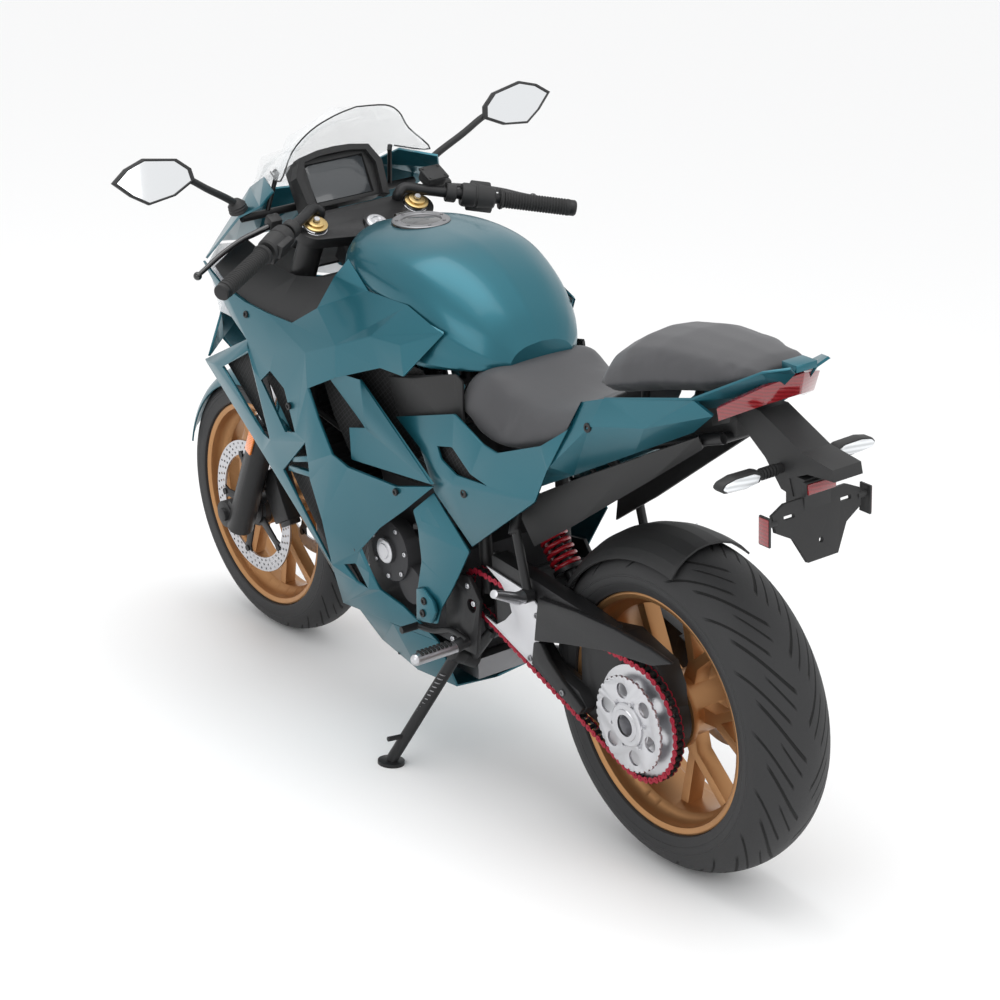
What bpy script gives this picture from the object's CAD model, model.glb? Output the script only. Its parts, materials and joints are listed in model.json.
import json
import math

import bmesh
import bpy
from mathutils import Matrix, Vector


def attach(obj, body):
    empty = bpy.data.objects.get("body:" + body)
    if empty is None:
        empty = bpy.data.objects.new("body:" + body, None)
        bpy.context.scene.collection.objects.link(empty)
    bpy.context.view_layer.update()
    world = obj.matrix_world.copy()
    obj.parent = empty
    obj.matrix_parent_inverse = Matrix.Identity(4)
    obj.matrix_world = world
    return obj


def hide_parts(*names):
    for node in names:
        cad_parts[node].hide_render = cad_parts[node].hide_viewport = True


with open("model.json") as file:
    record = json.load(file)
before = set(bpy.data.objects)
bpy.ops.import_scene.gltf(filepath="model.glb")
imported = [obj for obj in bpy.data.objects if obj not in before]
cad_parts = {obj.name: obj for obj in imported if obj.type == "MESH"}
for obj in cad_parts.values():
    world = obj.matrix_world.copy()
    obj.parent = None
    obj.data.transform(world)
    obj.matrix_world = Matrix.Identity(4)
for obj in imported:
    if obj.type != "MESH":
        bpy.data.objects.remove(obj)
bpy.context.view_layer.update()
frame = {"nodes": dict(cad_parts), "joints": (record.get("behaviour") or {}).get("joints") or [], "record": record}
nodes = frame["nodes"]
joints = {j["name"]: j for j in frame["joints"]}

# ---------------------------------------------------------------- sizes, in mm in the upright motorcycle
WHEELBASE, FRONT_R, REAR_R = 1400.0, 298.0, 322.0
RIM_R = 231.0
RAKE = math.radians(26.5)
HEAD = Vector((974.6, 0, 1027.9))
FORK_Y, CLAMP = 122.0, 25.0
CHAIN_Y, PITCH = 120.0, 15.875
DISC_Y = 72.0
CAP_X = 805.0
BOTH = (1, -1)
SPROCKET_R, DRIVE_R = 111.3, 40.7
DRIVE = Vector((475.0, 420.0))


def upright_to_parked():
    """Millimetres in the upright motorcycle to metres in the parked one."""
    rear = Vector(joints["rear_axle"]["pos_m"])
    left = Vector(joints["rear_axle"]["axis"]).normalized()
    ahead = Vector((1, 0, 0))
    up = ahead.cross(left)
    m = Matrix((ahead, left, up)).transposed() * 0.001
    m = m.to_4x4()
    m.translation = rear - up * (REAR_R * 0.001)
    return m


BIKE = upright_to_parked()
FORK = Matrix.Translation(HEAD) @ Matrix.Rotation(-RAKE, 4, "Y")
STEER = BIKE @ FORK
FRONT = BIKE @ Matrix.Translation((WHEELBASE, 0, FRONT_R))
REAR = BIKE @ Matrix.Translation((0, 0, REAR_R))


# ---------------------------------------------------------------- finishes
class Value:
    """A number or colour that changes over a surface."""

    def __init__(self, tree, socket):
        self.tree, self.socket = tree, socket

    def math(self, kind, *others, clamp=False):
        n = self.tree.nodes.new("ShaderNodeMath")
        n.operation, n.use_clamp = kind, clamp
        for at, v in enumerate((self, *others)):
            join(self.tree, n.inputs[at], v)
        return Value(self.tree, n.outputs[0])

    def __add__(self, o): return self.math("ADD", o)
    def __radd__(self, o): return self.math("ADD", o)
    def __sub__(self, o): return self.math("SUBTRACT", o)
    def __rsub__(self, o): return (self * -1.0).math("ADD", o)
    def __mul__(self, o): return self.math("MULTIPLY", o)
    def __rmul__(self, o): return self.math("MULTIPLY", o)
    def __truediv__(self, o): return self.math("DIVIDE", o)
    def __abs__(self): return self.math("ABSOLUTE")
    def fract(self): return self.math("FRACT")
    def sine(self): return self.math("SINE")
    def below(self, o): return self.math("LESS_THAN", o)
    def above(self, o): return self.math("GREATER_THAN", o)
    def most(self, o): return self.math("MAXIMUM", o)

    def fade(self, low, high):
        """0 below low and 1 above high."""
        return ((self - low) * (1.0 / (high - low))).math("ADD", 0.0, clamp=True)


def join(tree, socket, v):
    if isinstance(v, Value):
        tree.links.new(v.socket, socket)
    elif hasattr(socket.default_value, "__len__") and not hasattr(v, "__len__"):
        socket.default_value = [v] * len(socket.default_value)
    else:
        socket.default_value = v


class Finish:
    def __init__(self, name, colour, **sockets):
        self.material = bpy.data.materials.new(name)
        self.material.use_nodes = True
        self.tree = self.material.node_tree
        self.shader = self.tree.nodes["Principled BSDF"]
        self.shader.inputs["Base Color"].default_value = (*colour, 1)
        self.colour = colour
        for k, v in sockets.items():
            self.set(k.replace("_", " "), v)

    def set(self, socket, v):
        join(self.tree, self.shader.inputs[socket], v)

    def node(self, kind, settings=None, out=0, **sockets):
        n = self.tree.nodes.new(kind)
        for k, v in (settings or {}).items():
            setattr(n, k, v)
        for k, v in sockets.items():
            join(self.tree, n.inputs[k.replace("_", " ")], v)
        return Value(self.tree, n.outputs[out])

    def place(self):
        return self.node("ShaderNodeTexCoord", out=3)

    def noise(self, scale, detail=3.0, where=None):
        return self.node("ShaderNodeTexNoise", Vector=where or self.place(), Scale=scale, Detail=detail)

    def mix(self, amount, a, b):
        n = self.tree.nodes.new("ShaderNodeMix")
        n.data_type = "RGBA"
        join(self.tree, n.inputs[0], amount)
        join(self.tree, n.inputs[6], (*a, 1) if isinstance(a, tuple) else a)
        join(self.tree, n.inputs[7], (*b, 1) if isinstance(b, tuple) else b)
        return Value(self.tree, n.outputs[2])

    def relief(self, height, depth, strength=1.0):
        self.set("Normal", self.node("ShaderNodeBump", Height=height, Distance=depth, Strength=strength))

    def parts_of_uv(self):
        uv = self.node("ShaderNodeUVMap", {"uv_map": "skin"})
        split = self.tree.nodes.new("ShaderNodeSeparateXYZ")
        join(self.tree, split.inputs[0], uv)
        return Value(self.tree, split.outputs[0]), Value(self.tree, split.outputs[1])


def shade(colour, by):
    return tuple(min(1, c * by) for c in colour)


def paint():
    f = Finish("teal_paint", (0.012, 0.118, 0.158), Metallic=0.62, Coat_Weight=0.35, Coat_Roughness=0.12)
    flake = f.noise(900.0, 2.0)
    drift = f.noise(2.2, 2.0)
    f.set("Roughness", 0.30 + 0.07 * flake)
    f.set("Base Color", f.mix(0.35 * drift + 0.25 * flake, (0.008, 0.092, 0.125), (0.022, 0.165, 0.21)))
    f.relief(flake, 0.00003, 0.35)
    return f


def moulded(name, tone, rough, grain=1400.0):
    f = Finish(name, (tone, tone, tone * 1.03), Specular_IOR_Level=0.45)
    fine, broad = f.noise(grain, 2.0), f.noise(9.0, 3.0)
    f.set("Roughness", rough + 0.12 * broad)
    f.set("Base Color", f.mix(broad, (tone * 0.8,) * 3, (tone * 1.3, tone * 1.3, tone * 1.36)))
    f.relief(fine, 0.00012, 0.5)
    return f


def metal(name, colour, rough, grain=240.0, metallic=1.0, stretch=(1, 1, 1)):
    f = Finish(name, colour, Metallic=metallic)
    where = f.node("ShaderNodeMapping", Vector=f.place(), Scale=stretch)
    fine, broad = f.noise(grain, 3.0, where), f.noise(14.0, 3.0)
    f.set("Roughness", rough - 0.06 + 0.12 * fine + 0.08 * broad)
    f.set("Base Color", f.mix(0.55 * broad + 0.2 * fine, shade(colour, 0.82), shade(colour, 1.15)))
    f.relief(fine, 0.00006, 0.3)
    return f


def rubber(sweep, count):
    """Tread of long curved grooves: u runs once round the tyre and v from edge to edge."""
    f = Finish("tread_rubber_%d" % count, (0.016, 0.016, 0.017), Specular_IOR_Level=0.35)
    u, v = f.parts_of_uv()
    side = abs(v)
    shift = v.above(0.0) * 0.5

    def groove(start, lo, hi, width, bend):
        line = (u * float(count) + shift + start + side * bend + (side * side) * (sweep * 0.8)).fract()
        centre = abs(line - 0.5)
        ends = side.fade(lo, lo + 0.05) * (1.0 - side.fade(hi - 0.06, hi))
        return (1.0 - centre.fade(width * 0.6, width)) * ends

    cut = groove(0.0, 0.05, 0.80, 0.050, sweep).most(groove(0.36, 0.30, 0.93, 0.040, sweep * 0.9))
    cut = cut.most(groove(0.68, 0.14, 0.56, 0.034, sweep * 1.1))
    ring = (1.0 - abs(side - 0.985).fade(0.002, 0.005)).most(1.0 - abs(side - 1.06).fade(0.002, 0.005))
    grain = f.noise(260.0, 4.0)
    f.set("Roughness", 0.50 + 0.16 * grain + 0.15 * cut)
    f.set("Base Color", f.mix(cut, (0.026, 0.026, 0.027), (0.002, 0.002, 0.002)))
    f.relief(0.04 * grain - cut - 0.3 * ring, 0.0035, 0.9)
    return f


def vinyl():
    f = Finish("seat_vinyl", (0.05, 0.05, 0.054), Specular_IOR_Level=0.4, Sheen_Weight=0.12, Sheen_Roughness=0.5)
    cells = f.node("ShaderNodeTexVoronoi", {"feature": "DISTANCE_TO_EDGE"}, Vector=f.place(), Scale=420.0)
    broad = f.noise(7.0, 3.0)
    f.set("Roughness", 0.50 + 0.10 * broad)
    f.set("Base Color", f.mix(broad, (0.036, 0.036, 0.039), (0.062, 0.062, 0.067)))
    f.relief(cells.fade(0.0, 0.25), 0.0002, 0.35)
    return f


def drilled():
    """Brake disc face: rows of holes between an outer and an inner radius; v is the radius in mm."""
    f = metal("drilled_steel", (0.56, 0.56, 0.58), 0.26, 300.0)
    u, v = f.parts_of_uv()
    hole = None
    for row, radius in enumerate((124.0, 133.5, 143.0)):
        turn = (u * 45.0 + row / 3.0).fract() - 0.5
        across = turn * (2 * math.pi * radius / 45.0)
        off = v - radius
        one = (across * across + off * off).below(2.7 ** 2)
        hole = one if hole is None else hole.most(one)
    f.set("Alpha", 1.0 - hole)
    return f


def clear(name, tint, alpha, rough=0.04):
    return Finish(name, tint, Roughness=rough, Alpha=alpha, Coat_Weight=0.6, Coat_Roughness=0.02, Specular_IOR_Level=0.6)


def lens(name, colour, ribs):
    f = Finish(name, colour, Coat_Weight=1.0, Coat_Roughness=0.03, Specular_IOR_Level=0.6)
    wave = (f.node("ShaderNodeSeparateXYZ", Vector=f.place(), out=2) * ribs).sine()
    f.set("Roughness", 0.16 + 0.08 * wave)
    f.set("Base Color", f.mix(0.5 + 0.5 * wave, shade(colour, 0.8), shade(colour, 1.2)))
    f.relief(wave, 0.0002, 0.3)
    return f


def vent_mesh():
    """Dark diamond mesh over shadow."""
    f = moulded("vent_mesh", 0.006, 0.6)
    x, z = (f.node("ShaderNodeSeparateXYZ", Vector=f.place(), out=k) * 260.0 for k in (0, 2))
    wire = abs((x + z).sine()).below(0.22).most(abs((x - z).sine()).below(0.22))
    f.set("Base Color", f.mix(wire, (0.002, 0.002, 0.002), (0.022, 0.022, 0.024)))
    f.relief(wire, 0.0012, 0.8)
    return f


mesh_dark = vent_mesh()
teal = paint()
black_plastic = moulded("black_plastic", 0.016, 0.50)
dark_panel = moulded("dark_panel", 0.009, 0.62)
black_metal = metal("black_metal", (0.018, 0.018, 0.019), 0.40, metallic=0.35)
gloss_black = Finish("gloss_black", (0.006, 0.006, 0.007), Roughness=0.16, Coat_Weight=0.6, Coat_Roughness=0.05)
cast_dark = metal("cast_dark", (0.045, 0.045, 0.048), 0.55, 500.0, 0.5)
bronze = metal("bronze_paint", (0.47, 0.245, 0.105), 0.36, 700.0, 0.78)
silver = metal("machined_silver", (0.62, 0.62, 0.64), 0.30, 320.0, 1.0, (1, 1, 9))
pale_plate = metal("brushed_plate", (0.66, 0.66, 0.68), 0.42, 160.0, 0.85, (1, 1, 16))
chrome = Finish("hard_chrome", (0.72, 0.72, 0.74), Metallic=1.0, Roughness=0.10)
gold = metal("gold_anodised", (0.62, 0.45, 0.20), 0.30, 320.0, 1.0)
red_anodised = metal("red_anodised", (0.36, 0.012, 0.035), 0.36, 320.0, 0.6)
red_spring = Finish("red_spring", (0.42, 0.01, 0.02), Roughness=0.30, Coat_Weight=0.4)
steel = metal("dull_steel", (0.30, 0.30, 0.31), 0.42, 120.0)
seat_cover = vinyl()
rear_rubber, front_rubber = rubber(0.85, 16), rubber(0.7, 18)
disc_steel = drilled()
screen_clear = clear("clear_screen", (0.86, 0.90, 0.92), 0.17)
lamp_clear = clear("lamp_clear", (0.82, 0.86, 0.90), 0.45, 0.08)
red_lens = lens("red_lens", (0.20, 0.003, 0.007), 900.0)
clear_lens = lens("clear_lens", (0.72, 0.74, 0.76), 700.0)
amber_lens = lens("amber_lens", (0.85, 0.22, 0.02), 1500.0)
mirror_glass = Finish("mirror_glass", (0.90, 0.91, 0.92), Metallic=1.0, Roughness=0.03)
display_face = Finish("display_face", (0.045, 0.05, 0.055), Roughness=0.22, Coat_Weight=0.8, Coat_Roughness=0.04)
button_red = Finish("button_red", (0.55, 0.01, 0.015), Roughness=0.35)
grip_rubber = moulded("grip_rubber", 0.014, 0.62, 900.0)


# ---------------------------------------------------------------- shapes
def aim(a, b):
    """Turns +Z to run from a to b and starts it at a."""
    a, b = Vector(a), Vector(b)
    return Matrix.Translation(a) @ (b - a).to_track_quat("Z", "Y").to_matrix().to_4x4(), (b - a).length


def rod(bm, a, b, r, r2=None, n=24):
    m, length = aim(a, b)
    bmesh.ops.create_cone(bm, cap_ends=True, segments=n, radius1=r, radius2=r if r2 is None else r2,
                          depth=length, matrix=m @ Matrix.Translation((0, 0, length / 2)))


def ball(bm, at, r, n=16):
    bmesh.ops.create_uvsphere(bm, u_segments=n, v_segments=n // 2, radius=r, matrix=Matrix.Translation(at))


def connected(verts):
    """Every vertex that edges join to these."""
    found, todo = set(verts), list(verts)
    while todo:
        for e in todo.pop().link_edges:
            for v in e.verts:
                if v not in found:
                    found.add(v)
                    todo.append(v)
    return list(found)


def bevelled(bm, edges, offset, segments=2):
    return bmesh.ops.bevel(bm, geom=edges, offset=offset, segments=segments, profile=0.5, affect="EDGES",
                           clamp_overlap=True, material=-1)


def folds(bm, low, high=181.0):
    """Edges whose two faces turn by more than low and less than high degrees."""
    low, high = math.radians(low), math.radians(high)
    return [e for e in bm.edges if len(e.link_faces) == 2 and low < e.calc_face_angle(0) < high]


def turned(bm, a, b, profile, n=40):
    """profile is (distance along a to b, radius), spun once round."""
    m, _ = aim(a, b)
    made = [bm.verts.new((r, 0, s)) for s, r in profile]
    edges = [bm.edges.new(p) for p in zip(made, made[1:])]
    out = bmesh.ops.spin(bm, geom=made + edges, axis=(0, 0, 1), cent=(0, 0, 0), angle=math.tau, steps=n, use_merge=True)
    island = connected(set(made) | {g for g in out["geom_last"] if isinstance(g, bmesh.types.BMVert)})
    bmesh.ops.remove_doubles(bm, verts=island, dist=0.001)
    bmesh.ops.transform(bm, matrix=m, verts=[v for v in island if v.is_valid])


def slab(bm, outline, depth, m, soft=0.0, segments=2):
    """An outline in the local XY plane, given depth along local Z."""
    face = bm.faces.new([bm.verts.new((x, y, 0)) for x, y in outline])
    out = bmesh.ops.extrude_face_region(bm, geom=[face])
    top = [v for v in out["geom"] if isinstance(v, bmesh.types.BMVert)]
    bmesh.ops.translate(bm, vec=(0, 0, depth), verts=top)
    every = connected(set(top) | set(face.verts))
    if soft:
        got = bevelled(bm, list({e for v in every for e in v.link_edges}), soft, segments)
        every = connected(set(got["verts"]) | {v for f in got["faces"] for v in f.verts} | {v for v in every if v.is_valid})
    bmesh.ops.transform(bm, matrix=m, verts=every)


def block(bm, low, high, soft=1.5, m=Matrix()):
    size = [h - l for l, h in zip(low, high)]
    mid = [(h + l) / 2 for l, h in zip(low, high)]
    verts = bmesh.ops.create_cube(bm, size=1, matrix=Matrix.Translation(mid) @ Matrix.Diagonal((*size, 1)))["verts"]
    if soft:
        got = bevelled(bm, list({e for v in verts for e in v.link_edges}), soft)
        verts = connected({v for f in got["faces"] for v in f.verts})
    bmesh.ops.transform(bm, matrix=m, verts=verts)


def upright(y):
    """Local X stays forward, local Y points up and local Z points right, from the plane at y."""
    return Matrix.Translation((0, y, 0)) @ Matrix.Rotation(math.radians(90), 4, "X")


def backwards(at, side, tilt=0.0):
    """Local X points out on that side, local Y up and local Z forward, with the top tilted forward in degrees."""
    facing = Matrix(((0, 0, 1, 0), (side, 0, 0, 0), (0, 1, 0, 0), (0, 0, 0, 1)))
    return Matrix.Translation(at) @ Matrix.Rotation(math.radians(tilt), 4, "Y") @ facing


def curve_points(points, per=6):
    pts = [Vector(p) for p in points]
    out = []
    for i in range(len(pts) - 1):
        a, b, c, d = pts[max(i - 1, 0)], pts[i], pts[i + 1], pts[min(i + 2, len(pts) - 1)]
        for k in range(per):
            t = k / per
            out.append(0.5 * (2 * b + (c - a) * t + (2 * a - 5 * b + 4 * c - d) * t * t + (3 * b - a - 3 * c + d) * t ** 3))
    return out + [pts[-1]]


def tube(bm, points, r, n=12, per=6, taper=None):
    path = curve_points(points, per)
    last = None
    for i, p in enumerate(path):
        ahead = path[min(i + 1, len(path) - 1)] - path[max(i - 1, 0)]
        size = r if taper is None else r + (taper - r) * i / (len(path) - 1)
        q = ahead.to_track_quat("Z", "Y") if abs(ahead.normalized().y) < 0.98 else ahead.to_track_quat("Z", "X")
        ring = bmesh.ops.create_circle(bm, cap_ends=i in (0, len(path) - 1), segments=n, radius=size,
                                       matrix=Matrix.Translation(p) @ q.to_matrix().to_4x4())["verts"]
        edges = list({e for v in ring for e in v.link_edges})
        if last:
            bmesh.ops.bridge_loops(bm, edges=last + edges)
        last = edges


def polish(bm, angle=32.0):
    bmesh.ops.recalc_face_normals(bm, faces=bm.faces[:])
    limit = math.radians(angle)
    for f in bm.faces:
        f.smooth = True
    for e in bm.edges:
        e.smooth = len(e.link_faces) == 2 and e.calc_face_angle(0) < limit


def placed(name, data):
    o = bpy.data.objects.new(name, data)
    bpy.context.scene.collection.objects.link(o)
    return o


def object_of(name, bm):
    mesh = bpy.data.meshes.new(name)
    bm.to_mesh(mesh)
    bm.free()
    return placed(name, mesh)


def piece(name, bm, finish, body, space=BIKE, replaces=(), angle=32.0):
    """A visible piece, made in the millimetres of its space, that rides on a body."""
    bmesh.ops.transform(bm, matrix=space, verts=bm.verts[:])
    polish(bm, angle)
    o = object_of(name, bm)
    o.data.materials.append(finish.material)
    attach(o, body)
    if replaces:
        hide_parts(*replaces)
    return o


BODY = {member: body for body, members in frame["record"]["behaviour"]["bodies"].items() for member in members}


def cad_copy(node, dist=0.00002):
    """The CAD node's mesh with its corners merged, in metres."""
    bm = bmesh.new()
    bm.from_mesh(nodes[node].data)
    bmesh.ops.remove_doubles(bm, verts=bm.verts[:], dist=dist)
    return bm


def refined(node, finish, crease=0.0, rim=0.0, angle=32.0, flat=0.6):
    """A merged copy of a CAD node with its folds and rims eased by so many millimetres, which stands in for it."""
    bm = cad_copy(node)
    bmesh.ops.dissolve_limit(bm, angle_limit=math.radians(flat), verts=bm.verts[:], edges=bm.edges[:])
    if crease:
        bevelled(bm, folds(bm, 7, 62), crease * 0.001)
    if rim:
        bevelled(bm, folds(bm, 40), rim * 0.001)
    return piece(node + "_finished", bm, finish, BODY[node], Matrix(), (node,), angle)


def give_uv(o, centre, v_of):
    """u is the turn round the axle and v comes from the point in the wheel's own millimetres."""
    back = centre.inverted()
    layer = o.data.uv_layers.new(name="skin")
    pts = [back @ v.co for v in o.data.vertices]
    for f in o.data.polygons:
        turns = [math.atan2(pts[i].z, pts[i].x) / math.tau for i in f.vertices]
        far = max(turns) - min(turns) > 0.5
        for loop, i, t in zip(f.loop_indices, f.vertices, turns):
            layer.data[loop].uv = (t + 1 if far and t < 0 else t, v_of(pts[i]))


def wheel_shape(outline, steps=96):
    """outline is closed, (radius, across), spun round the axle."""
    bm = bmesh.new()
    made = [bm.verts.new((r, y, 0)) for r, y in outline]
    edges = [bm.edges.new((made[i], made[(i + 1) % len(made)])) for i in range(len(made))]
    bmesh.ops.spin(bm, geom=made + edges, axis=(0, 1, 0), cent=(0, 0, 0), angle=math.tau, steps=steps, use_merge=True)
    bmesh.ops.remove_doubles(bm, verts=bm.verts[:], dist=0.001)
    return bm


# ---------------------------------------------------------------- wheels
def tyre(node, finish, space, r, crown, half):
    drop = crown * 0.72
    arc = [(r - drop + drop * math.cos(math.radians(a)), crown * math.sin(math.radians(a))) for a in range(-84, 85, 6)]
    wall = [(RIM_R + 14, half + (crown - half) * 0.66), (RIM_R + 8, half + 5), (RIM_R + 2.2, half + 3.5),
            (RIM_R + 0.8, half + 1), (RIM_R + 0.8, half - 7), (RIM_R - 7, half - 10), (RIM_R - 7, half - 21),
            (RIM_R + 14, half - 21)]
    outline = arc + wall + [(x, -y) for x, y in reversed(wall)]
    o = piece(node + "_tread", wheel_shape(outline, 120), finish, BODY[node], space, (node,), 38)

    def across(p):
        far = math.hypot(p.x, p.z)
        return p.y / crown if far > r - drop - 2 else math.copysign(1.0 + (r - drop - far) / crown, p.y)

    give_uv(o, space, across)


tyre("rear_tyre", rear_rubber, REAR, REAR_R, 95, 82)
tyre("front_tyre", front_rubber, FRONT, FRONT_R, 60, 54)
refined("rear_rim", bronze, rim=2.2, angle=40)
refined("front_rim", bronze, rim=2.0, angle=40)


def disc_ring(name, finish, space, y, r_out, r_in, thick, body, replaces=()):
    bm = wheel_shape([(r_out, y - thick / 2), (r_out, y + thick / 2), (r_in, y + thick / 2), (r_in, y - thick / 2)], 90)
    o = piece(name, bm, finish, body, space, replaces, 30)
    give_uv(o, space, lambda p: math.hypot(p.x, p.z))


def front_discs():
    for side, tag in ((1, "left"), (-1, "right")):
        disc_ring("front_disc_" + tag, disc_steel, FRONT, side * DISC_Y, 149.5, 118, 4.6, "front_wheel",
                  ("front_brake_discs",) if side == 1 else ())
        bm = bmesh.new()
        for k in range(5):
            turn = Matrix.Rotation(math.tau * k / 5, 4, "Y")
            arm = [(38, -12), (104, -9), (119, -15), (119, 15), (104, 9), (38, 12)]
            slab(bm, arm, 4.4, turn @ upright(side * DISC_Y + 2.2), 0.8)
            m = turn @ Matrix.Translation((118, side * DISC_Y, 0))
            rod(bm, m @ Vector((0, -5, 0)), m @ Vector((0, 5, 0)), 7, n=16)
        turned(bm, (0, side * 56, 0), (0, side * 78, 0), [(0, 15), (0, 46), (14, 46), (18, 40), (22, 40), (22, 15)])
        piece("front_disc_carrier_" + tag, bm, black_metal, "front_wheel", FRONT)


front_discs()
refined("rear_brake_disc", silver, rim=0.4, angle=30)


def sprocket_detail():
    refined("rear_sprocket", silver, rim=0.5, angle=30)
    bm = bmesh.new()
    for k in range(6):
        a = math.tau * k / 6 + math.radians(45)
        x, z = 46 * math.cos(a), 46 * math.sin(a)
        rod(bm, (x, 141, z), (x, 148, z), 6.2, n=6)
        rod(bm, (x, 147, z), (x, 152, z), 3.4, n=16)
    turned(bm, (0, 145, 0), (0, 154, 0), [(0, 21), (0, 42), (5, 42), (7, 39), (7, 31), (9, 30), (9, 21)])
    piece("rear_hub_nuts", bm, silver, "rear_wheel", REAR)
    bm = bmesh.new()
    turned(bm, (0, 60, 0), (0, 110, 0), [(0, 34), (0, 76), (42, 78), (47, 74), (50, 60), (50, 34)], 56)
    piece("rear_hub_drum", bm, black_metal, "rear_wheel", REAR)


sprocket_detail()


def chain():
    """Links of two plates and two pins, laid pitch by pitch round both sprockets."""
    far = DRIVE - Vector((0, REAR_R))
    length = far.length
    tilt = math.atan2(far.y, far.x)
    splay = math.asin((SPROCKET_R - DRIVE_R) / length)
    run = length * math.cos(splay)
    back_arc, front_arc = SPROCKET_R * (math.pi + 2 * splay), DRIVE_R * (math.pi - 2 * splay)
    total = 2 * run + back_arc + front_arc
    count = int(round(total / PITCH / 2)) * 2
    step = total / count

    def at(s):
        s %= total
        if s < back_arc:
            a = math.pi / 2 - splay + s / SPROCKET_R
            return Vector((SPROCKET_R * math.cos(a), SPROCKET_R * math.sin(a)))
        s -= back_arc
        a = -math.pi / 2 + splay
        start = Vector((SPROCKET_R * math.cos(a), SPROCKET_R * math.sin(a)))
        along = Vector((-math.sin(a), math.cos(a)))
        if s < run:
            return start + along * s
        s -= run
        if s < front_arc:
            a2 = a + s / DRIVE_R
            return Vector((length + DRIVE_R * math.cos(a2), DRIVE_R * math.sin(a2)))
        s -= front_arc
        a = math.pi / 2 - splay
        start = Vector((length + DRIVE_R * math.cos(a), DRIVE_R * math.sin(a)))
        return start + Vector((-math.sin(a), math.cos(a))) * s

    turn = Matrix.Rotation(tilt, 2)
    outer, inner = bmesh.new(), bmesh.new()
    for k in range(count):
        a, b = (turn @ at(s * step) for s in (k, k + 1))
        slope = Matrix.Rotation(-math.atan2(b.y - a.y, b.x - a.x), 4, "Y")
        m = Matrix.Translation((a.x, 0, a.y)) @ slope @ Matrix.Rotation(math.pi / 2, 4, "X")
        if k % 2:
            bm, h, plates, reach, pin, n = inner, 6.2, (5.2, -6.8), 5, 4.6, 10
        else:
            bm, h, plates, reach, pin, n = outer, 7.2, (7.4, -9.0), 9.8, 2.4, 8
        shape = [(-5, 5), (-h, 1.5), (-h, -2.2), (-5, -5.6), (1, -h + .6), (6, -3.6), (10, -3.6), (PITCH - 1, -h + .6),
                 (PITCH + 5, -5.6), (PITCH + h, -2.2), (PITCH + h, 1.5), (PITCH + 5, 5), (PITCH, h - .4), (10, 3.6),
                 (6, 3.6), (0, h - .4)]
        for y in plates:
            slab(bm, shape, 1.6, m @ Matrix.Translation((0, 0, -CHAIN_Y - y - 1.6)))
        for x in (0, PITCH):
            rod(bm, m @ Vector((x, 0, -CHAIN_Y - reach)), m @ Vector((x, 0, -CHAIN_Y + reach)), pin, n=n)
    piece("chain_outer_links", outer, red_anodised, "chassis", REAR, ("drive_chain",), 30)
    piece("chain_inner_links", inner, black_metal, "chassis", REAR, (), 30)


chain()


# ---------------------------------------------------------------- bodywork
def skin_sheet(bm, points, faces, thick=4.0):
    """A sheet over corner points and its mirror image, thick millimetres deep towards the middle."""
    for s in BOTH:
        out = [bm.verts.new((x, s * y, z)) for x, y, z in points]
        back = [bm.verts.new((x, s * (y - thick), z)) for x, y, z in points]
        for f in faces:
            bm.faces.new([out[i] for i in f])
            bm.faces.new([back[i] for i in reversed(f)])
        pairs = [frozenset((f[i], f[(i + 1) % len(f)])) for f in faces for i in range(len(f))]
        for a, b in (tuple(p) for p in sorted(set(pairs), key=sorted) if pairs.count(p) == 1):
            bm.faces.new([out[b], out[a], back[a], back[b]])


def ease(bm):
    """Rounds a sheet's folds and rims."""
    bmesh.ops.recalc_face_normals(bm, faces=bm.faces[:])
    bevelled(bm, folds(bm, 6, 62), 4.0)
    bevelled(bm, folds(bm, 40), 1.4)


def backing(bm, loop, depth, grow):
    """A dark closed panel behind an opening, depth inside it and grow wider all round, on both sides."""
    mid = sum((Vector(p) for p in loop), Vector()) / len(loop)
    wide = []
    for p in loop:
        away = Vector(p) - mid
        away.y = 0
        q = Vector(p) + away.normalized() * grow
        wide.append((q.x, q.y - depth, q.z))
    wide.append((mid.x, mid.y - depth, mid.z))
    n = len(loop)
    skin_sheet(bm, wide, [(i, (i + 1) % n, n) for i in range(n)], 2.5)


def lofted(rows, split, per=6, fine=5):
    """Half outlines from top to bottom at stations along X, skinned smoothly with a sharp line at index split."""
    tracks = zip(*([(x, *q) for q in half] for x, half in rows))
    dense = [curve_points(t, per) for t in tracks]
    bm = bmesh.new()
    rings = []
    for k in range(len(dense[0])):
        half = [d[k] for d in dense]
        side = curve_points(half[:split + 1], fine)[:-1] + curve_points(half[split:], fine)
        ring = side + [Vector((p.x, -p.y, p.z)) for p in reversed(side[1:-1])]
        rings.append([bm.verts.new(p) for p in ring])
    n = len(rings[0])
    for a, b in zip(rings, rings[1:]):
        for i in range(n):
            bm.faces.new((a[i], a[(i + 1) % n], b[(i + 1) % n], b[i]))
    bm.faces.new(rings[0])
    bm.faces.new(rings[-1])
    return bm


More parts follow.
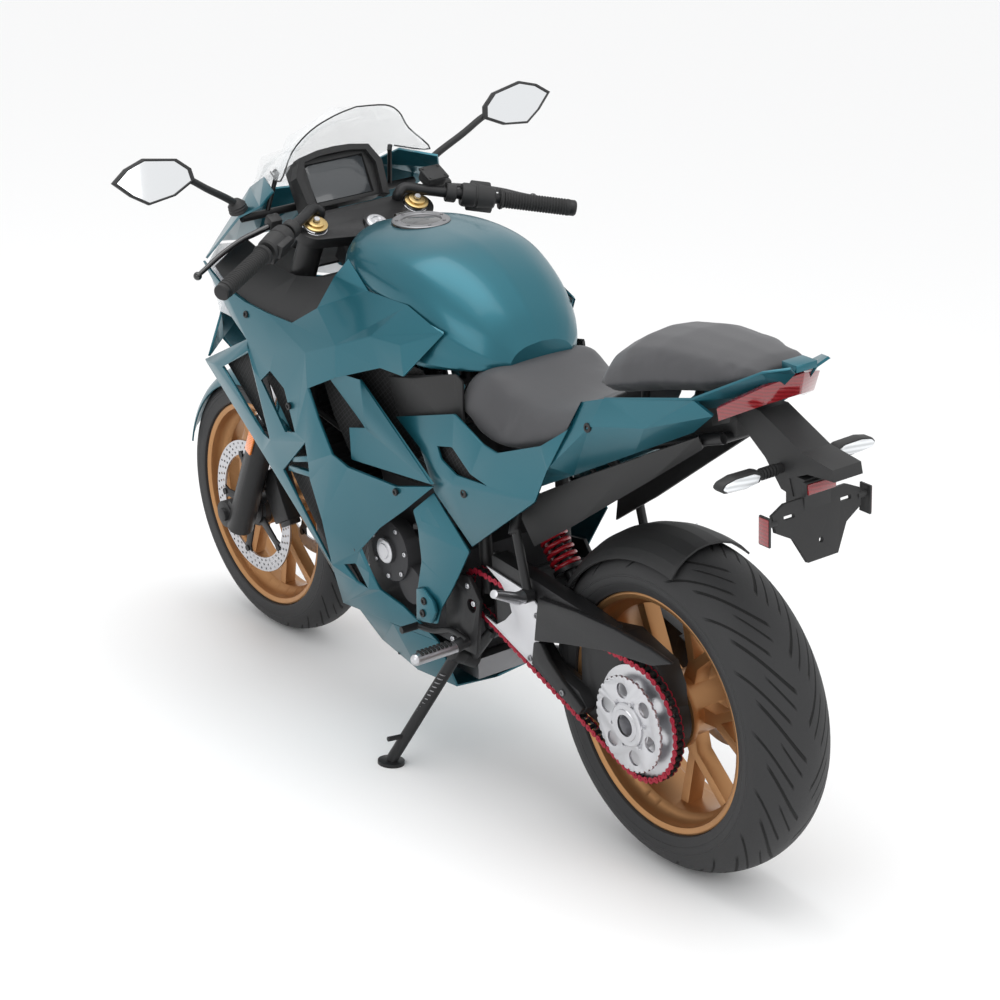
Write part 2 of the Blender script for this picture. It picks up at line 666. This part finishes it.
def tank():
    rows = [(920, [(0, 1040), (30, 1040), (52, 1028), (66, 1004), (72, 985), (66, 970), (46, 962), (0, 960)]),
            (884, [(0, 1052), (50, 1052), (94, 1040), (122, 1012), (130, 985), (120, 965), (88, 952), (0, 950)]),
            (820, [(0, 1060), (75, 1058), (125, 1045), (154, 1010), (158, 985), (144, 955), (118, 918), (0, 910)]),
            (720, [(0, 1065), (80, 1060), (135, 1044), (163, 1008), (168, 978), (160, 930), (142, 872), (0, 852)]),
            (620, [(0, 1058), (80, 1050), (130, 1030), (156, 998), (164, 962), (164, 905), (154, 850), (0, 846)]),
            (530, [(0, 1022), (70, 1014), (113, 990), (138, 962), (150, 932), (152, 890), (138, 858), (0, 856)]),
            (462, [(0, 966), (55, 958), (88, 940), (104, 920), (114, 900), (114, 880), (100, 864), (0, 862)]),
            (424, [(0, 912), (36, 908), (56, 900), (66, 892), (72, 884), (70, 874), (60, 868), (0, 866)])]
    o = piece("tank_shell", lofted(rows, 4), teal, "chassis", BIKE, ("fuel_tank",), 26)
    cut = bmesh.new()
    rod(cut, (CAP_X, 0, 1049), (CAP_X, 0, 1110), 58.6, n=64)
    rod(cut, (CAP_X, 0, 992), (CAP_X, 0, 1060), 34, n=48)
    bmesh.ops.transform(cut, matrix=BIKE, verts=cut.verts[:])
    neck = object_of("neck", cut)
    hollow = o.modifiers.new("neck", "BOOLEAN")
    hollow.operation, hollow.solver, hollow.object, hollow.use_self = "DIFFERENCE", "EXACT", neck, True
    bpy.context.view_layer.objects.active = o
    bpy.ops.object.modifier_apply(modifier=hollow.name)
    bpy.data.objects.remove(neck)


def body_panels():
    # side panel from the seat down to the rearset, with its slot
    at = {"a": (659, 178, 739), "b": (469, 174, 796), "c": (383, 172, 759), "d": (342, 171, 754), "e": (209, 170, 806),
          "f": (145, 156, 852), "g": (122, 143, 908), "h": (567, 186, 699), "i": (512, 186, 723), "j": (472, 180, 731),
          "k": (416, 180, 693), "l": (358, 184, 688), "m": (510, 190, 672), "n": (459, 192, 662), "o": (227, 173, 693),
          "p": (439, 166, 535), "q": (529, 186, 627), "r": (500, 187, 700), "t": (452, 187, 682), "u": (192, 170, 766)}
    names = list(at)
    faces = [[names.index(c) for c in w] for w in
             "ahi aijb bjkc ckld dloe eou euf fug hirm mrtn ntlo hmq mnq npq nop".split()]
    bm = bmesh.new()
    skin_sheet(bm, list(at.values()), faces)
    ease(bm)
    piece("side_panel_skins", bm, teal, "chassis", BIKE, ("side_panels",), 26)
    # pillar down to the footrest boss
    points = [(584, 200, 574), (538, 182, 619), (446, 168, 522), (509, 168, 423), (549, 169, 367), (559, 172, 334),
              (618, 174, 320), (616, 176, 392), (589, 182, 462), (581, 192, 532)]
    bm = bmesh.new()
    skin_sheet(bm, points, [(0, 1, 2, 9), (9, 2, 3, 8), (8, 3, 4, 7), (7, 4, 5, 6)])
    ease(bm)
    for s in BOTH:
        slab(bm, [(616, 326), (612, 396), (588, 404), (556, 384), (548, 364), (564, 336)], 10, upright(s * 178 + 5), 3.5)
    piece("pillar_skins", bm, teal, "chassis", BIKE, ("frame_covers",), 26)
    # what shows through the openings
    windows = [
        ([(1230, 225, 704), (1103, 235, 770), (1040, 235, 597), (1078, 230, 602)], 22, 30),
        ([(1058, 240, 730), (1008, 243, 756), (955, 245, 733), (925, 243, 648), (970, 240, 635)], 24, 30),
        ([(893, 238, 593), (897, 240, 633), (1013, 225, 537), (951, 215, 454), (879, 205, 364), (875, 225, 470),
          (895, 235, 553)], 26, 24),
        ([(855, 200, 385), (812, 190, 385), (778, 185, 338), (822, 185, 340)], 16, 14),
        ([(512, 186, 723), (472, 180, 731), (416, 180, 693), (358, 184, 688), (452, 187, 682), (500, 187, 700)], 14, 10),
        ([(868, 240, 758), (779, 232, 800), (665, 200, 843), (600, 192, 840), (530, 184, 700), (515, 186, 655),
          (615, 205, 617), (756, 222, 619), (802, 232, 634), (838, 240, 700)], 38, 6)]
    bm = bmesh.new()
    for loop, depth, grow in windows:
        backing(bm, loop, depth, grow)
    piece("opening_backs", bm, mesh_dark, "chassis")
    # slats across the front vent
    bm = bmesh.new()
    for low, high in (((897, 232, 590), (972, 226, 566)), ((895, 230, 556), (1000, 220, 538))):
        lip = (high[0] - 6, high[1] + 3, high[2] + 13), (low[0], low[1] + 3, low[2] + 13)
        skin_sheet(bm, [low, high, *lip], [(0, 1, 2, 3)], 12)
    bmesh.ops.recalc_face_normals(bm, faces=bm.faces[:])
    bevelled(bm, folds(bm, 6, 62), 1.0)
    bevelled(bm, folds(bm, 40), 1.0)
    piece("vent_slats", bm, teal, "chassis")
    # dark closing panels round the steering head
    bm = bmesh.new()
    for low, high in (((866, -148, 930), (964, 148, 936)), ((1132, -142, 900), (1286, 142, 906))):
        block(bm, low, high, 2)
    piece("cockpit_closers", bm, dark_panel, "chassis")


PANELS = ("upper_cowl", "side_fairings", "scoop_blades", "belly_pan", "tail_cowl")
for panel in PANELS:
    refined(panel, teal, crease=5.0, rim=1.6, angle=28, flat=0.3)
refined("front_fender", teal, rim=1.2, angle=34)
tank()
body_panels()
for part in ("side_covers", "inner_panels", "undertail", "plate_holder", "rear_hugger"):
    refined(part, black_plastic, crease=3.0, rim=1.4, angle=30, flat=0.4)


# ---------------------------------------------------------------- seats
RIDER_ROWS = [
    (502, [(0, 868), (60, 864), (112, 846), (134, 822), (142, 802), (134, 788), (60, 786), (0, 786)]),
    (470, [(0, 880), (70, 876), (122, 862), (142, 828), (150, 790), (138, 774), (60, 772), (0, 772)]),
    (420, [(0, 880), (70, 878), (127, 870), (148, 818), (157, 770), (144, 756), (60, 754), (0, 754)]),
    (350, [(0, 860), (70, 857), (126, 840), (150, 798), (157, 760), (144, 752), (60, 752), (0, 752)]),
    (270, [(0, 850), (75, 846), (126, 834), (147, 806), (152, 784), (138, 772), (60, 770), (0, 770)]),
    (200, [(0, 864), (72, 860), (114, 848), (134, 830), (140, 818), (126, 800), (60, 798), (0, 798)]),
    (150, [(0, 898), (60, 894), (98, 884), (112, 870), (118, 858), (104, 848), (50, 846), (0, 846)]),
    (122, [(0, 914), (50, 911), (80, 903), (92, 892), (96, 882), (84, 872), (45, 870), (0, 870)])]


def seat(node, swell, cap, rows=None):
    """The cushion's shape, remeshed, then blown up a little as cloth."""
    if rows:
        bm = lofted(rows, 4, 4, 3)
        bmesh.ops.transform(bm, matrix=BIKE, verts=bm.verts[:])
    else:
        bm = cad_copy(node, 0.0002)
    centre = sum((v.co for v in bm.verts), Vector()) / len(bm.verts)
    bmesh.ops.scale(bm, vec=(0.985, 0.97, 0.96), space=Matrix.Translation(-centre), verts=bm.verts[:])
    o = piece(node + "_cushion", bm, seat_cover, BODY[node], Matrix(), (node,), 180)
    bpy.context.view_layer.objects.active = o
    remesh = o.modifiers.new("even", "REMESH")
    remesh.mode, remesh.voxel_size, remesh.use_smooth_shade = "VOXEL", 0.0055, True
    bpy.ops.object.modifier_apply(modifier=remesh.name)
    start = [v.co.copy() for v in o.data.vertices]
    cloth = o.modifiers.new("stuffing", "CLOTH")
    cloth.settings.use_pressure = True
    cloth.settings.uniform_pressure_force = swell
    cloth.settings.effector_weights.gravity = 0
    cloth.settings.quality = 4
    cloth.point_cache.frame_start, cloth.point_cache.frame_end = 1, 20
    scene = bpy.context.scene
    for f in range(1, 21):
        scene.frame_set(f)
    moved = o.evaluated_get(bpy.context.evaluated_depsgraph_get()).to_mesh()
    after = [v.co.copy() for v in moved.vertices]
    o.modifiers.remove(cloth)
    scene.frame_set(1)
    for v, a, b in zip(o.data.vertices, start, after):
        d = b - a
        v.co = a + d * min(1.0, cap / max(d.length, 1e-9))
    soft = o.modifiers.new("even_out", "SMOOTH")
    soft.iterations, soft.factor = 6, 0.5
    bpy.ops.object.modifier_apply(modifier=soft.name)
    for p in o.data.polygons:
        p.use_smooth = True


seat("rider_seat", 3.0, 0.005, RIDER_ROWS)
seat("pillion_seat", 3.0, 0.006)


# ---------------------------------------------------------------- frame, engine, running gear
for part, finish, rim in (
    ("main_frame", black_metal, 0.0), ("engine", cast_dark, 2.0), ("radiator", black_metal, 1.0), ("exhaust", steel, 0.0),
    ("swingarm", black_metal, 2.5), ("rear_caliper", black_metal, 2.0),
    ("fork_yokes", black_metal, 1.5), ("fork_legs", black_metal, 1.2), ("fork_tubes", chrome, 0.8),
    ("front_calipers", black_metal, 2.5), ("rearsets", black_metal, 1.2), ("passenger_pegs", silver, 0.6),
    ("side_stand", black_metal, 0.6), ("instrument_panel", black_plastic, 3.0),
    ("fuel_cap", gloss_black, 1.0),
):
    refined(part, finish, rim=rim, angle=36)


def guard():
    bm = bmesh.new()
    slab(bm, [(435, 490), (387, 468), (366, 446), (356, 419), (378, 396), (408, 376), (446, 382), (296, 330), (280, 345),
              (262, 452), (297, 478)], 4, upright(139), 1.2)
    piece("guard_plate", bm, pale_plate, "chassis", BIKE, ("swingarm_guard",), 30)
    bm = bmesh.new()
    slab(bm, [(270, 447), (264, 482), (150, 494), (40, 498), (-58, 494), (-120, 484), (-66, 462), (66, 444),
              (196, 412), (280, 388)], 14, upright(146), 4)
    slab(bm, [(284, 384), (292, 336), (206, 302), (150, 282), (138, 300), (196, 332), (240, 362), (262, 390)],
         12, upright(144), 3)
    piece("swingarm_cast_beams", bm, black_metal, "chassis", BIKE, (), 34)


guard()


def shock():
    top, foot = Vector((440, 0, 566)), Vector((352, 0, 462))
    along = (top - foot).normalized()
    side = Vector((0, 1, 0))
    across = along.cross(side)
    bm = bmesh.new()
    coil = [(math.tau * k / 14, 14 + k * 1.05) for k in range(6 * 14 + 1)]
    tube(bm, [foot + along * far + (side * math.cos(a) + across * math.sin(a)) * 26 for a, far in coil], 4.6, 8, 1)
    piece("shock_spring", bm, red_spring, "chassis", BIKE, ("shock_absorber",), 60)
    bm = bmesh.new()
    rod(bm, foot - along * 14, top + along * 30, 12)
    rod(bm, foot + along * 4, foot + along * 12, 31)
    rod(bm, top - along * 28, top - along * 14, 31)
    rod(bm, top - along * 16, top + along * 6, 24)
    piece("shock_body", bm, black_metal, "chassis")


shock()


# ---------------------------------------------------------------- glass and lamps
def screen():
    bm = cad_copy("windscreen")
    bmesh.ops.subdivide_edges(bm, edges=bm.edges[:], cuts=1, use_grid_fill=True, smooth=0.6)
    piece("windscreen_clear", bm, screen_clear, "chassis", Matrix(), ("windscreen",), 75)
    bm = bmesh.new()
    rim = [(1110, 150, 1128), (1025, 180, 1132), (1040, 140, 1180), (1020, 105, 1222), (1000, 60, 1248), (1015, 0, 1252)]
    for side in BOTH:
        tube(bm, [(x, side * y, z) for x, y, z in rim], 1.6, 8, 4)
    piece("windscreen_edge", bm, black_plastic, "chassis")


screen()
refined("headlights", lamp_clear, crease=3, rim=1.0, angle=30)
refined("tail_light", red_lens, crease=3, rim=0.8, angle=30)


def lamps():
    bm = bmesh.new()
    for side in BOTH:
        for x, y, z in ((1345, 110, 858), (1300, 150, 858)):
            turned(bm, (x, side * y, z), (x + 40, side * y, z - 4),
                   [(-26, 0), (-24, 16), (-8, 30), (14, 34), (14, 31), (-6, 26), (-20, 10), (-22, 0)], 28)
    piece("headlight_bowls", bm, chrome, "chassis")
    bm = bmesh.new()
    pod = [(0, 7), (14, 13), (62, 14), (88, 8), (96, -1), (86, -10), (40, -13), (8, -9)]
    shell = bmesh.new()
    for side in BOTH:
        m = backwards((-292, side * 80, 873), side)
        slab(shell, pod, 24, m, 4)
        slab(bm, [(10 + x * 0.84, y * 0.76) for x, y in pod], 8, m @ Matrix.Translation((0, 0, -4)), 2.5)
        rod(shell, (-279, side * 32.6, 873), (-280, side * 84, 873), 9, n=20)
        for k in range(5):
            ring = side * (46 + 7 * k)
            rod(shell, (-280, ring, 873), (-280, ring + side * 3.4, 873), 10.8, n=20)
    piece("indicator_lenses", bm, clear_lens, "chassis")
    piece("indicator_pods", shell, black_plastic, "chassis", BIKE, ("rear_indicators",))
    bm = bmesh.new()
    block(bm, (-347.4, -31, 842.5), (-343, 31, 861.5), 1.2)
    for side in BOTH:
        y = side * 116.2
        block(bm, (-344, min(y, y + side * 1.6), 772), (-320, max(y, y + side * 1.6), 820), 0.7)
    piece("rear_reflex", bm, red_lens, "chassis")
    bm = bmesh.new()
    for side in BOTH:
        y = FORK_Y + 28.4
        near, far = sorted((side * y, side * (y + 5.4)))
        block(bm, (CLAMP - 13, near, -621), (CLAMP + 9, far, -561), 1.6)
    piece("fork_reflex", bm, amber_lens, "steering", STEER)


lamps()


# ---------------------------------------------------------------- cockpit
def bar_at(t, side=1):
    a, b = Vector((CLAMP + 17, FORK_Y + 14, 14)), Vector((-112, 420, 17))
    p = a + (b - a) * t
    return Vector((p.x, side * p.y, p.z))


def cockpit():
    grips, tubes, weights, pods, buttons = (bmesh.new() for _ in range(5))
    for s in BOTH:
        a, b = bar_at(0.52, s), bar_at(0.98, s)
        length = (b - a).length
        ribs = [(0, 11), (0, 20), (3, 21.5), (7, 20)]
        k = 9.0
        while k < length - 8:
            ribs += [(k, 16.0), (k + 1.2, 17.4), (k + 3.4, 17.4), (k + 4.6, 16.0)]
            k += 6.0
        ribs += [(length - 5, 17.5), (length, 17), (length, 11)]
        turned(grips, a, b, ribs, 32)
        turned(weights, bar_at(0.975, s), bar_at(1.0, s),
               [(0, 0), (0, 15), (3, 16.6), (12, 16.6), (15, 14.5), (16, 9), (15, 0)], 28)
        tube(tubes, [bar_at(0.62, s), bar_at(0.2, s), bar_at(0.03, s), Vector((CLAMP + 32, s * (FORK_Y - 10), 12)),
                     Vector((CLAMP + 29, s * (FORK_Y - 26), 3)), Vector((CLAMP + 28, s * (FORK_Y - 27), -7))], 11, 20, 6)
        along = (b - a).normalized()
        c = bar_at(0.40, s)
        m = Matrix.Translation(c) @ along.to_track_quat("Z", "X").to_matrix().to_4x4()
        turned(pods, bar_at(0.27, s), bar_at(0.505, s),
               [(0, 12), (0, 22), (4, 24.5), (26, 25), (28, 23.4), (31, 23.4), (33, 25), (66, 23), (70, 20), (70, 12)], 28)
        block(pods, (-26, -20, -30), (-4, 20, 26), 4, m)
        block(pods, (-12, -28, -24), (20, -12, 20), 4, m)
        turned(pods, bar_at(0.17, s), bar_at(0.24, s), [(0, 11), (0, 17.5), (2, 19), (19, 19), (21, 17.5), (21, 11)], 28)
        for z, w, h in ((-18, 7, 6), (-2, 9, 8), (14, 6, 5)):
            block(pods, (-31, -w, z - h / 2), (-24, w, z + h / 2 + 3), 1.5, m)
        block(buttons, (-30 if s > 0 else -32, -9, 16), (-20, 9, 27), 1.8, m)
        block(pods, (40, s * 205 - 14, -9), (66, s * 205 + 14, 17), 5)
    piece("hand_grips", grips, grip_rubber, "steering", STEER, ("handlebars",), 40)
    piece("handlebar_tubes", tubes, black_metal, "steering", STEER, (), 50)
    piece("bar_end_weights", weights, black_metal, "steering", STEER)
    piece("switch_pods", pods, black_plastic, "steering", STEER, ("bar_controls",))
    piece("red_buttons", buttons, button_red, "steering", STEER)
    bm = bmesh.new()
    for s in BOTH:
        tube(bm, [(50, s * 208, 0), (46, s * 246, -8), (40, s * 285, -14), (22, s * 340, -22), (4, s * 380, -29),
                  (-6, s * 402, -32)], 6.8, 12, 5, 4.6)
        ball(bm, (-8, s * 406, -33), 8.6)
    piece("brake_and_clutch_levers", bm, gloss_black, "steering", STEER, (), 60)
    bm = bmesh.new()
    block(bm, (34, -196, 14), (72, -150, 36), 5)
    block(bm, (32, -198, 35.5), (74, -148, 42), 2)
    for x, y in ((38, -192), (68, -192), (38, -154), (68, -154)):
        rod(bm, (x, y, 41), (x, y, 43.5), 3, n=12)
    tube(bm, [(52, -188, 12), (52, -192, 0), (50, -200, -4), (48, -206, 2)], 4, 10)
    piece("brake_reservoir_cup", bm, black_plastic, "steering", STEER)
    # fork caps, ignition and stem nut on the top yoke
    bm, gm, km = bmesh.new(), bmesh.new(), bmesh.new()
    for s in BOTH:
        x, y = CLAMP, s * FORK_Y
        turned(bm, (x, y, -2), (x, y, 20),
               [(0, 24.6), (4, 24.6), (5, 22), (5, 17), (9, 17), (9.6, 15), (9.6, 7), (7, 6), (7, 0)], 32)
        turned(gm, (x, y, 0), (x, y, 20), [(6, 6), (7.5, 6), (9, 7), (14, 7), (15, 6), (15, 0)], 6)
    turned(km, (-12, 0, -9), (-12, 0, 30), [(0, 22), (14, 22), (17, 20), (18, 17), (18, 12), (16.5, 11), (16.5, 0)], 36)
    block(km, (-14, -5, 6), (-10, 5, 8.6), 0.6)
    piece("fork_caps", bm, gold, "steering", STEER)
    bm = bmesh.new()
    for s in BOTH:
        for low, high in ((-186, -34), (-262, -214)):
            turned(bm, (CLAMP, s * FORK_Y, low), (CLAMP, s * FORK_Y, high),
                   [(0, 25.6), (0, 26.6), (high - low, 26.6), (high - low, 25.6)], 36)
    piece("fork_sleeves", bm, black_metal, "steering", STEER)
    piece("fork_adjusters", gm, silver, "steering", STEER)
    piece("ignition_lock", km, silver, "steering", STEER)
    # display in its hood
    place = Matrix.Translation((1100, 0, 1082)) @ Matrix.Rotation(math.radians(-62), 4, "Y")
    bm = bmesh.new()
    slab(bm, [(-36, -66), (-36, 66), (38, 70), (43, 60), (43, -60), (38, -70)], 3,
         place @ Matrix.Translation((0, 0, 5)), 1.5)
    piece("display_glass", bm, display_face, "chassis")
    bm = bmesh.new()
    hood = [(-52, 96), (20, 104), (58, 84), (66, 40), (68, 0), (66, -40), (58, -84), (20, -104), (-52, -96)]
    inner = [(-46, 82), (18, 88), (48, 74), (54, 38), (55, 0), (54, -38), (48, -74), (18, -88), (-46, -82)]
    for a, b, c, d in zip(hood, hood[1:], inner[1:], inner):
        slab(bm, [a, b, c, d], 26, place @ Matrix.Translation((0, 0, -2)))
    bmesh.ops.remove_doubles(bm, verts=bm.verts[:], dist=0.05)
    piece("display_hood", bm, black_plastic, "chassis", angle=50)


cockpit()


def mirrors():
    shell, glass, arm = bmesh.new(), bmesh.new(), bmesh.new()
    outline = [(90, 14), (58, 36), (15, 49), (-56, 36), (-84, 12), (-88, -12), (-40, -34), (20, -41), (56, -18)]
    for s in BOTH:
        m = backwards((1066, s * 436, 1170), s, 12)
        rings = []
        for grow, depth in ((0.86, 3.0), (0.93, 0.0), (1.0, 2.5), (1.0, 9.0), (0.88, 17.0), (0.62, 22.0)):
            rings.append([shell.verts.new(m @ Vector((x * grow, y * grow, depth))) for x, y in outline])
        for low, high in zip(rings, rings[1:]):
            for k in range(len(outline)):
                j = (k + 1) % len(outline)
                shell.faces.new((low[k], low[j], high[j], high[k]))
        shell.faces.new(rings[0])
        shell.faces.new(rings[-1])
        inset = [(x * 0.94, y * 0.89) for x, y in outline]
        slab(glass, inset, 1.2, m @ Matrix.Translation((0, 0, 1.8)), 0.4, 1)
        tube(arm, [(1110, s * 236, 1080), (1104, s * 262, 1098), (1090, s * 310, 1128), (1080, s * 352, 1156),
                   (1078, s * 378, 1163)], 8, 14, 6, 6.5)
        turned(arm, (1112, s * 228, 1062), (1110, s * 238, 1092),
               [(0, 17), (0, 19.5), (3, 20), (6, 18), (9, 19.4), (12, 17.4), (15, 18.6), (19, 15), (26, 9), (28, 0)], 28)
    bmesh.ops.remove_doubles(shell, verts=shell.verts[:], dist=0.01)
    piece("mirror_shells", shell, black_plastic, "chassis", BIKE, ("mirrors",), 24)
    piece("mirror_glass_faces", glass, mirror_glass, "chassis")
    piece("mirror_stalks", arm, black_plastic, "chassis", angle=50)


mirrors()


# ---------------------------------------------------------------- small parts
def bolts(name, finish, body, places, r=6.5, space=BIKE):
    """places are (head centre, direction)."""
    bm = bmesh.new()
    for at, way in places:
        at, way = Vector(at), Vector(way).normalized()
        turned(bm, at, at + way * 10, [(-3, 0), (-3, r * 0.8), (-0.5, r), (2.4, r), (3.4, r * 0.86), (3.4, r * 0.5),
                                       (1.4, r * 0.45), (1.4, 0)], 18)
    piece(name, bm, finish, body, space)


def small_parts():
    def both(points, rise=0.0):
        return [((x, s * y, z), (0, s, rise)) for s in BOTH for x, y, z in points]

    fairing = both([(1112, 228, 846)], 0.2) + both([(616, 216, 606), (940, 246, 700)]) + both([(800, 200, 425)], -0.2)
    bolts("fairing_screws", black_metal, "chassis", fairing, 7.5)
    bolts("panel_locks", black_metal, "chassis", both([(430, 186, 652), (96, 149, 868)], 0.1), 9)
    boss = [(540, 144.4, 424), (488, 144.4, 432), (470, 144.4, 400), (545, 144.4, 300)]
    bolts("rearset_bolts", silver, "chassis", both(boss), 6)
    plate = [((x, y, z), (0, 1, 0)) for x, y, z in ((300, 139.2, 344), (276, 139.2, 440), (196, 144.2, 312))]
    bolts("guard_bolts", steel, "chassis", plate, 6)
    bolts("frame_boss_bolts", black_metal, "chassis", both([(584, 183.4, 378), (590, 183.4, 350)]), 8)
    bolts("engine_cover_bolts", silver, "chassis",
          [((724 + 56 * math.cos(a), 166.3, 436 + 56 * math.sin(a)), (0, 1, 0))
           for a in (math.tau * k / 7 + 0.3 for k in range(7))], 5)
    bm = bmesh.new()
    turned(bm, (728, 174, 436), (728, 190, 436), [(0, 26), (1.5, 26), (3, 24), (3, 16), (5, 15), (5, 0)], 36)
    piece("engine_cover_disc", bm, silver, "chassis")
    # pegs with rubber tops
    bm, rb = bmesh.new(), bmesh.new()
    for s in BOTH:
        rod(bm, (500, s * 168, 306), (502, s * 262, 306), 11.5, 12.2, 20)
        ball(bm, (502, s * 262, 306), 12.3)
        for k in range(8):
            y = s * (184 + k * 9.4)
            block(rb, (492, min(y, y + 6), 314.5), (512, max(y, y + 6), 319.6), 1.0)
        rod(bm, (290, s * 180, 484), (262, s * 244, 519), 10.5, 7.4, 16)
    piece("bare_pegs", bm, silver, "chassis")
    piece("peg_rubbers", rb, grip_rubber, "chassis")
    # foot levers
    bm = bmesh.new()
    for s in BOTH:
        y = s * 152
        tube(bm, [(488, y, 318), (540, y, 322), (600, y, 300), (648, y + s * 6, 296)], 6, 12)
        rod(bm, (648, s * 156, 296), (650, s * 196, 296), 7.5, n=16)
    piece("foot_levers", bm, black_metal, "chassis", angle=50)
    # stand spring and tab
    bm = bmesh.new()
    a, b = Vector((576, 150, 214)), Vector((606, 208, 116))
    along = (b - a).normalized()
    u = along.orthogonal().normalized()
    w = along.cross(u)
    turns = [(math.tau * k / 8, k / 96) for k in range(97)]
    coil = [a.lerp(b, share) + (u * math.cos(t) + w * math.sin(t)) * 5.5 for t, share in turns]
    tube(bm, coil, 1.3, 6, 1)
    piece("stand_spring", bm, steel, "stand", angle=60)
    # radiator fins
    bm = bmesh.new()
    m = Matrix.Translation((982, 0, 590)) @ Matrix.Rotation(math.radians(14), 4, "Y")
    for k in range(22):
        z = -126 + k * 11.4
        for x in (-20.5, 16.5):
            block(bm, (x - 1.4, -146, z), (x + 1.4, 146, z + 3.2), 0, m)
    for s in BOTH:
        block(bm, (-22, s * 154 - 8, -138), (20, s * 154 + 8, 128), 4, m)
    piece("radiator_fins", bm, cast_dark, "chassis")
    # fuel cap ring and its screws
    bm = bmesh.new()
    turned(bm, (CAP_X, 0, 1062), (CAP_X, 0, 1080),
           [(0, 57.6), (3.2, 57.6), (4.6, 55.5), (4.6, 41), (2.6, 39.5), (0, 39.5)], 64)
    for k in range(7):
        a = math.tau * k / 7 + 0.2
        x, y = CAP_X + 48 * math.cos(a), 48 * math.sin(a)
        rod(bm, (x, y, 1066), (x, y, 1068.2), 3.4, n=12)
    piece("fuel_cap_ring", bm, steel, "cap")


small_parts()


# ---------------------------------------------------------------- room, light and camera
def room():
    bm = bmesh.new()
    bmesh.ops.create_grid(bm, x_segments=1, y_segments=1, size=40)
    floor = object_of("floor", bm)
    white = Finish("floor_white", (0.93, 0.93, 0.93), Roughness=0.9, Specular_IOR_Level=0.1)
    floor.data.materials.append(white.material)
    world = bpy.data.worlds.new("room")
    bpy.context.scene.world = world
    world.use_nodes = True
    tree = world.node_tree
    back = tree.nodes["Background"]
    coord = tree.nodes.new("ShaderNodeTexCoord")
    split = tree.nodes.new("ShaderNodeSeparateXYZ")
    ramp = tree.nodes.new("ShaderNodeValToRGB")
    tree.links.new(coord.outputs["Generated"], split.inputs[0])
    tree.links.new(split.outputs[2], ramp.inputs[0])
    low, high = ramp.color_ramp.elements
    low.position, low.color = 0.0, (0.80, 0.81, 0.82, 1)
    high.position, high.color = 0.85, (1, 1, 1, 1)
    tree.links.new(ramp.outputs[0], back.inputs[0])
    back.inputs[1].default_value = 1.06

    def lamp(name, at, to, size, power):
        data = bpy.data.lights.new(name, "AREA")
        data.shape, data.size, data.size_y, data.energy = "RECTANGLE", size[0], size[1], power
        o = placed(name, data)
        o.location = at
        o.rotation_mode = "QUATERNION"
        o.rotation_quaternion = (Vector(to) - Vector(at)).to_track_quat("-Z", "Y")

    lamp("overhead", (0.0, 0.4, 3.6), (0, 0, 0.4), (3.2, 2.0), 44)
    lamp("left_bank", (-1.5, 3.6, 2.2), (0, 0, 0.6), (2.4, 1.6), 22)
    lamp("tail_bank", (-3.8, -0.8, 2.0), (0, 0, 0.6), (1.6, 1.6), 12)


def camera():
    data = bpy.data.cameras.new("camera")
    data.sensor_width, data.lens = 36, 99.737
    data.clip_end = 200
    o = placed("camera", data)
    right = Vector((-0.59496462, -0.80311307, -0.03203892))
    down = Vector((-0.28347347, 0.24697021, -0.92663289))
    ahead = Vector((0.75210364, -0.5422316, -0.37459979))
    turn = (BIKE.to_3x3() * 1000.0)
    axes = Matrix((turn @ right, turn @ -down, turn @ -ahead)).transposed()
    o.rotation_mode = "QUATERNION"
    o.rotation_quaternion = axes.to_quaternion()
    o.location = BIKE @ Vector((-3509.63, 2943.80, 2578.81))
    bpy.context.scene.camera = o


room()
camera()
bpy.context.scene.view_settings.view_transform = "Standard"
bpy.context.scene.view_settings.look = "None"
